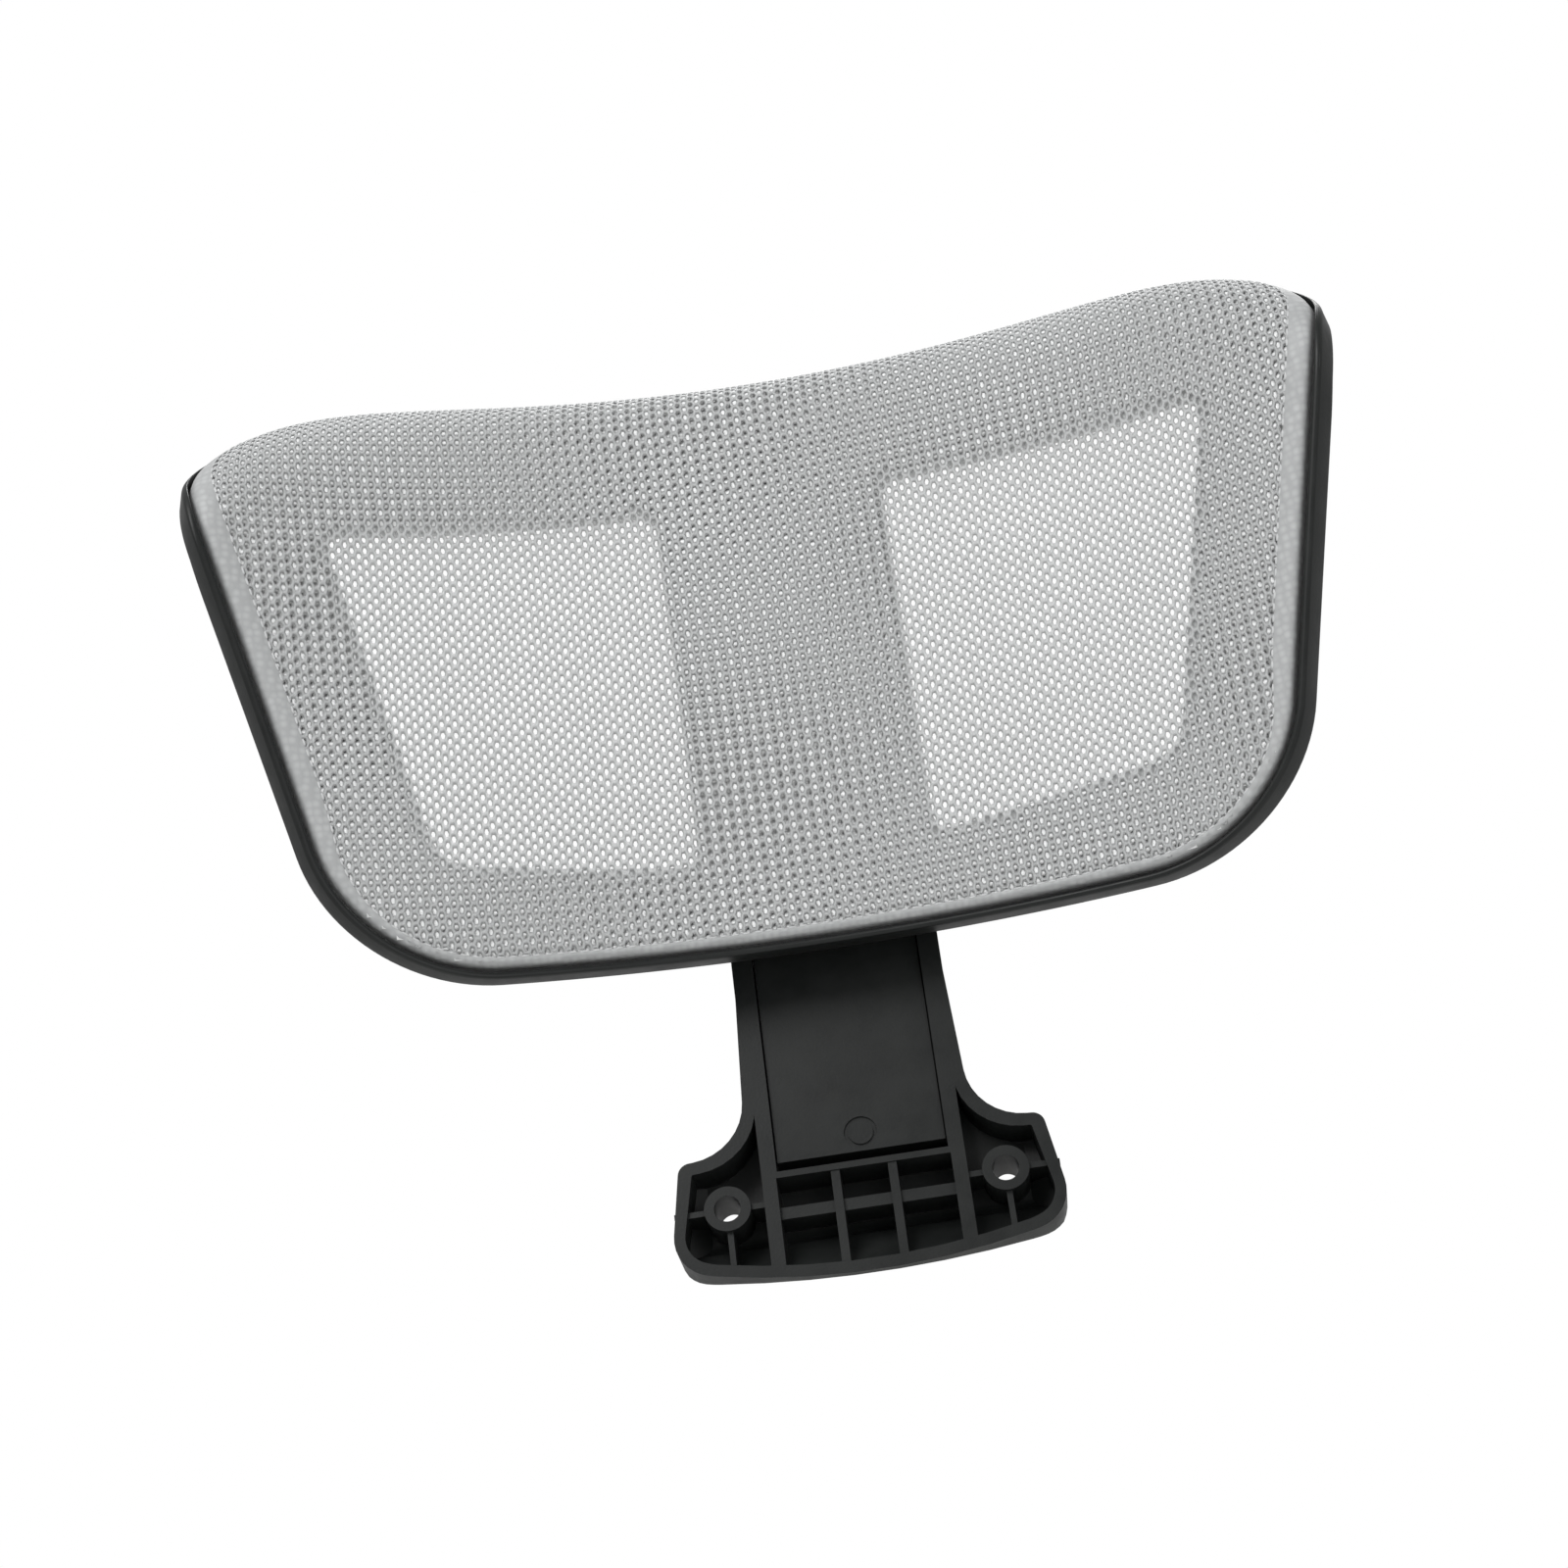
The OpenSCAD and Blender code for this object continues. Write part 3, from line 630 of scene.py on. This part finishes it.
def grid_cells(pitch, rise, shift, shrink, keep):
    """Square-set cells of the stiff net that lies behind the knit."""
    cells = []
    span = int(190 / pitch)
    for i in range(-span, span + 1):
        for j in range(int(LENGTH / rise) + 2):
            u, s = i * pitch + shift[0], j * rise + shift[1]
            ring = [(pitch / 2, -rise / 2), (pitch / 2, rise / 2), (-pitch / 2, rise / 2),
                    (-pitch / 2, -rise / 2)]
            if abs(u) + pitch > 190 or not keep((arc_to_x(u), s)):
                continue
            keys = [(2 * i + (1 if a > 0 else -1), 2 * j + (1 if b > 0 else -1)) for a, b in ring]
            corners = [(arc_to_x(u + a), s + b) for a, b in ring]
            size = random.uniform(0.92, 1.06)
            hole = [(arc_to_x(u + a * shrink[0] * size), s + b * shrink[1] * size) for a, b in ring]
            cells.append((keys, corners, hole))
    return cells


def region(outer, window_grow=None):
    """A test for (x, s) within a closed path and, if asked, outside the windows."""
    openings = []
    if window_grow is not None:
        openings = [window_path(window_grow, window_grow, side) for side in (False, True)]

    def keep(point):
        p = np.array([point])
        return bool(inside(p, outer)[0]) and not any(inside(p, w)[0] for w in openings)

    return keep


# Cell sizes in mm, the holes' share of a cell across and up, and the depths of ridge and hole edge.
KNIT_PITCH, KNIT_RISE, KNIT_RIGHT = 1.825, 3.3, 1.2
KNIT_HOLES = (0.48, 0.48)
KNIT_DEPTHS = (0.0, 0.24)
NET_PITCH, NET_RISE, NET_SHIFT = 3.72, 3.22, (0.4, 1.0)
NET_HOLES = (0.12, 0.16)
NET_DEPTHS = (0.27, 0.62)

within_hem = region(hem_path(SEAM_INSET - 1.2))
knit = knit_cells(KNIT_PITCH, KNIT_RISE, KNIT_RIGHT, KNIT_HOLES, within_hem)
face_points, face_faces = perforated(knit, *KNIT_DEPTHS)
face_mesh = new_piece("face_mesh", head_points(face_points), face_faces, "head", "mesh", None)

behind_bands = region(hem_path(SEAM_INSET - 1.0), 2.2)
net = grid_cells(NET_PITCH, NET_RISE, NET_SHIFT, NET_HOLES, behind_bands)
net_points, net_faces = perforated(net, *NET_DEPTHS)
backing_net = new_piece("backing_net", head_points(net_points), net_faces, "head", "liner", None)

HEM_SECTION = [(SEAM_INSET, 0.35), (SEAM_INSET - 0.15, 0.08), (SEAM_INSET - 0.5, -0.04), (7.0, -0.06),
               (5.6, 0.0), (4.7, 0.16), (4.1, 0.5), (3.7, 1.0), (3.48, 1.7), (FABRIC_EDGE, 2.6),
               (FABRIC_EDGE, 5.6), (4.1, 5.6), (4.15, 2.4), (4.4, 1.6), (4.9, 1.0), (5.6, 0.75),
               (SEAM_INSET, 0.6)]
hem = Shells()
hem.add(*swept(HEM_SECTION, hem_path))
hem_band = hem.piece("hem_band", "head", "mesh", "hem", 50)


def seam_stitches(spacing=3.1, length=1.9, width=0.55):
    """Short raised stitches along the hem's inner edge."""
    path = hem_path(SEAM_INSET - 0.1)
    along = np.roll(path, -1, 0) - path
    lengths = np.linalg.norm(along, axis=1)
    total = lengths.sum()
    count = int(total / spacing)
    ends = np.concatenate([[0], np.cumsum(lengths)])
    closed = np.concatenate([path, path[:1]])
    shells = Shells()
    for i in range(count):
        at = total * i / count
        points = []
        steps = 6
        for k in range(steps + 1):
            t = k / steps
            here = (at + (t - 0.5) * length) % total
            x = np.interp(here, ends, closed[:, 0])
            s = np.interp(here, ends, closed[:, 1])
            ahead = np.array([np.interp((here + 0.2) % total, ends, closed[:, 0]) - x,
                              np.interp((here + 0.2) % total, ends, closed[:, 1]) - s])
            ahead /= max(np.linalg.norm(ahead), 1e-9)
            across = np.array([-ahead[1], ahead[0]])
            fat = math.sin(math.pi * (0.08 + 0.84 * t)) ** 0.5
            for a in range(6):
                turn = 2 * math.pi * a / 6
                off = across * math.cos(turn) * width / 2 * fat
                lift = math.sin(turn) * width / 2 * fat
                points.append((x + off[0], s + off[1], 0.02 - lift * 0.9))
        p = np.array(points)
        faces = []
        for k in range(steps):
            for a in range(6):
                b = (a + 1) % 6
                faces.append((k * 6 + a, k * 6 + b, k * 6 + 6 + b, k * 6 + 6 + a))
        faces.append(tuple(range(6)))
        faces.append(tuple(range(steps * 6, steps * 6 + 6)))
        shells.add(on_head(p[:, 0], p[:, 1], p[:, 2]), faces)
    return shells


seam = seam_stitches().piece("seam_stitches", "head", "mesh", "thread", 60)
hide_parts("mesh_fabric")

# ------------------------------------------------------------------ welt, inner carrier, rear frame

WELT_SECTION = [(2.1, 3.7), (2.4, 3.4), (3.0, 3.4), (3.2, 3.7),
                (3.2, 5.5), (3.0, 5.8), (2.4, 5.8), (2.1, 5.5)]
welt = Shells()
welt.add(*swept(WELT_SECTION, straight_in))
edge_welt = welt.piece("edge_welt", "head", "black_plastic", "welt", 50)
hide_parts("listing_strip")

carrier = Shells()
carrier_loops = [outline(CARRIER_EDGE), window_path(), window_path(mirror=True)]
carrier.add(*plate(carrier_loops, *CARRIER_DEPTHS, 0.5))
carrier.add(*swept([(CARRIER_EDGE, 1.9), (CARRIER_EDGE + 2, 1.9), (CARRIER_EDGE + 2, CARRIER_BACK),
                    (CARRIER_EDGE, CARRIER_BACK)], straight_in))


def face_frame(x, s, d):
    """Origin and rearward direction at a place on the head."""
    origin = on_head(x, s, d)
    out = on_head(x, s, d + 1.0) - origin
    return tuple(origin), tuple(out)


for x, s in FRAME_SCREWS:
    for side in (-1, 1):
        origin, out = face_frame(side * x, s, 3.2)
        carrier.add(*turned([(1.45, 0), (3.4, 0), (3.4, CARRIER_BACK - 3.4), (3.2, CARRIER_BACK - 3.2),
                             (1.45, CARRIER_BACK - 3.2)], origin, out, 28))
inner_carrier = carrier.piece("inner_carrier", "head", "grey_plastic", "grey", 35)
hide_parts("mesh_carrier")

RIM_SECTION = [(1.8, 6.8), (1.8, 0.3), (1.68, -0.08), (1.4, -0.32), (1.0, -0.4), (0.55, -0.34),
               (0.2, -0.1), (0.04, 0.35), (0.0, 0.9), (0.0, 6.6), (0.12, 7.5), (0.5, 8.3),
               (1.2, 8.9), (2.2, 9.18), (3.4, 9.2), (3.4, 6.8)]
# Inner and outer side, lower and upper end of the rear ribs.
RIBS = [(9, 11.5, 86, 148), (26.3, 28.8, 14, 148)]
BRACKET_COLLAR = [(2, 0), (4.2, 0), (4.2, 3.4), (2, 3.4)]
SCREW_COLLAR = [(3.3, 0), (4.7, 0), (4.7, 0.9), (4.3, 1.3), (3.7, 1.3), (3.3, 0.9)]
shell = Shells()
floor_loops = [drafted(2.4, FLOOR_DEPTHS[1]), window_path(2, 5), window_path(2, 5, mirror=True)]
shell.add(*plate(floor_loops, *FLOOR_DEPTHS, 1.1))
shell.add(*swept(RIM_SECTION, drafted))
shell.add(*soft_box((-28.8, FLOOR_DEPTHS[0] + 0.4, 12), (28.8, FLOOR_DEPTHS[1], 84), 0.6))
for side in (-1, 1):
    for low, high, bottom, top in RIBS:
        left, right = sorted((side * low, side * high))
        front, back = FLOOR_DEPTHS[0] + 0.6, FLOOR_DEPTHS[1] + 4
        shell.add(*soft_box((left, front, bottom), (right, back, top), 0.55))
    for x, s in BRACKET_SCREWS:
        shell.add(*turned(BRACKET_COLLAR, (side * x, 3.7, s), (0, 1, 0), 28))
    for x, s in FRAME_SCREWS:
        origin, out = face_frame(side * x, s, FLOOR_DEPTHS[1] - 0.5)
        shell.add(*turned(SCREW_COLLAR, origin, out, 36))
rear_frame = shell.piece("rear_frame", "head", "black_plastic", "black", 35)
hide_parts("back_frame")

# ------------------------------------------------------------------ bevelled mouldings


def parted(name, node, body, width, material="black", segments=2):
    """A copy of a CAD node with its edges rounded as a mould leaves them."""
    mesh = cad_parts[node].data.copy()
    work = bmesh.new()
    work.from_mesh(mesh)
    bmesh.ops.remove_doubles(work, verts=work.verts, dist=1e-6)
    bmesh.ops.dissolve_limit(work, angle_limit=math.radians(0.6), verts=work.verts, edges=work.edges)
    work.to_mesh(mesh)
    work.free()
    piece = place_piece(name, mesh, body, material, 30)
    bevel = piece.modifiers.new("edges", "BEVEL")
    bevel.width = width * MM
    bevel.segments = segments
    bevel.limit_method = "ANGLE"
    bevel.angle_limit = math.radians(32)
    bevel.use_clamp_overlap = True
    normals = piece.modifiers.new("normals", "WEIGHTED_NORMAL")
    normals.keep_sharp = True
    evaluated = piece.evaluated_get(bpy.context.evaluated_depsgraph_get())
    final = bpy.data.meshes.new_from_object(evaluated)
    piece.modifiers.clear()
    piece.data = final
    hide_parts(node)
    return piece


parted("foot_bracket", "mount_bracket", "bracket", 0.35)
parted("channel_end", "channel_cap", "bracket", 0.35)
parted("slide", "slide_stem", "stem", 0.35)
parted("tilt_yoke", "tilt_bracket", "head", 0.5)
parted("pivot_caps", "hinge_caps", "head", 0.8, segments=3)

# ------------------------------------------------------------------ finishes of the other CAD nodes

NODE_FINISH = {
    "acetal": ["guide_liners", "glide_pads", "hinge_bushes"],
    "steel": ["cap_screws", "pad_springs", "bracket_screws", "hinge_bolt", "plain_washer",
              "disc_springs", "hinge_nut", "frame_screws"],
    "friction": ["friction_washers"],
}
for material, names in NODE_FINISH.items():
    for name in names:
        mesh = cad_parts[name].data
        mesh.materials.clear()
        mesh.materials.append(MATERIALS[material])

# ------------------------------------------------------------------ floor, light, background


def area_light(name, place, aim, size, power):
    """A soft rectangular white light at a place, turned towards aim."""
    data = bpy.data.lights.new(name, "AREA")
    data.shape = "RECTANGLE"
    data.size, data.size_y = size
    data.energy = power
    light = bpy.data.objects.new(name, data)
    bpy.context.scene.collection.objects.link(light)
    light.location = place
    light.rotation_mode = "QUATERNION"
    light.rotation_quaternion = (Vector(aim) - Vector(place)).to_track_quat("-Z", "Y")


def make_floor():
    """A plain pale floor below the part."""
    m = Nodes("pale_floor", (0.82, 0.82, 0.81), 0.6)
    m.colour_between(m.noise(6, 4.0, 0.5), (0.80, 0.80, 0.79), (0.85, 0.85, 0.84))
    mesh = bpy.data.meshes.new("floor")
    half, z = 4.0, -0.36
    mesh.from_pydata([(-half, -half, z), (half, -half, z), (half, half, z), (-half, half, z)], [],
                     [(0, 1, 2, 3)])
    mesh.materials.append(m.material)
    floor = bpy.data.objects.new("floor", mesh)
    bpy.context.scene.collection.objects.link(floor)


def make_world():
    """Even white studio light, dimmer on the part than it looks behind it."""
    world = bpy.data.worlds.new("studio")
    bpy.context.scene.world = world
    world.use_nodes = True
    tree = world.node_tree
    tree.nodes.clear()
    soft = tree.nodes.new("ShaderNodeBackground")
    soft.inputs["Color"].default_value = (1, 1, 1, 1)
    soft.inputs["Strength"].default_value = 0.55
    seen = tree.nodes.new("ShaderNodeBackground")
    seen.inputs["Color"].default_value = (1, 1, 1, 1)
    seen.inputs["Strength"].default_value = 1.0
    path = tree.nodes.new("ShaderNodeLightPath")
    mix = tree.nodes.new("ShaderNodeMixShader")
    out = tree.nodes.new("ShaderNodeOutputWorld")
    tree.links.new(path.outputs["Is Camera Ray"], mix.inputs[0])
    tree.links.new(soft.outputs[0], mix.inputs[1])
    tree.links.new(seen.outputs[0], mix.inputs[2])
    tree.links.new(mix.outputs[0], out.inputs["Surface"])


make_floor()
make_world()
area_light("key", (-0.55, -1.0, 0.75), (0, 0, 0.1), (0.7, 0.7), 13)
area_light("fill", (0.75, -0.9, -0.15), (0, 0, 0.08), (0.8, 0.8), 6)
area_light("top", (0.1, 0.35, 1.0), (0, 0, 0.1), (0.8, 0.5), 7)
bpy.context.scene.view_settings.view_transform = "Standard"
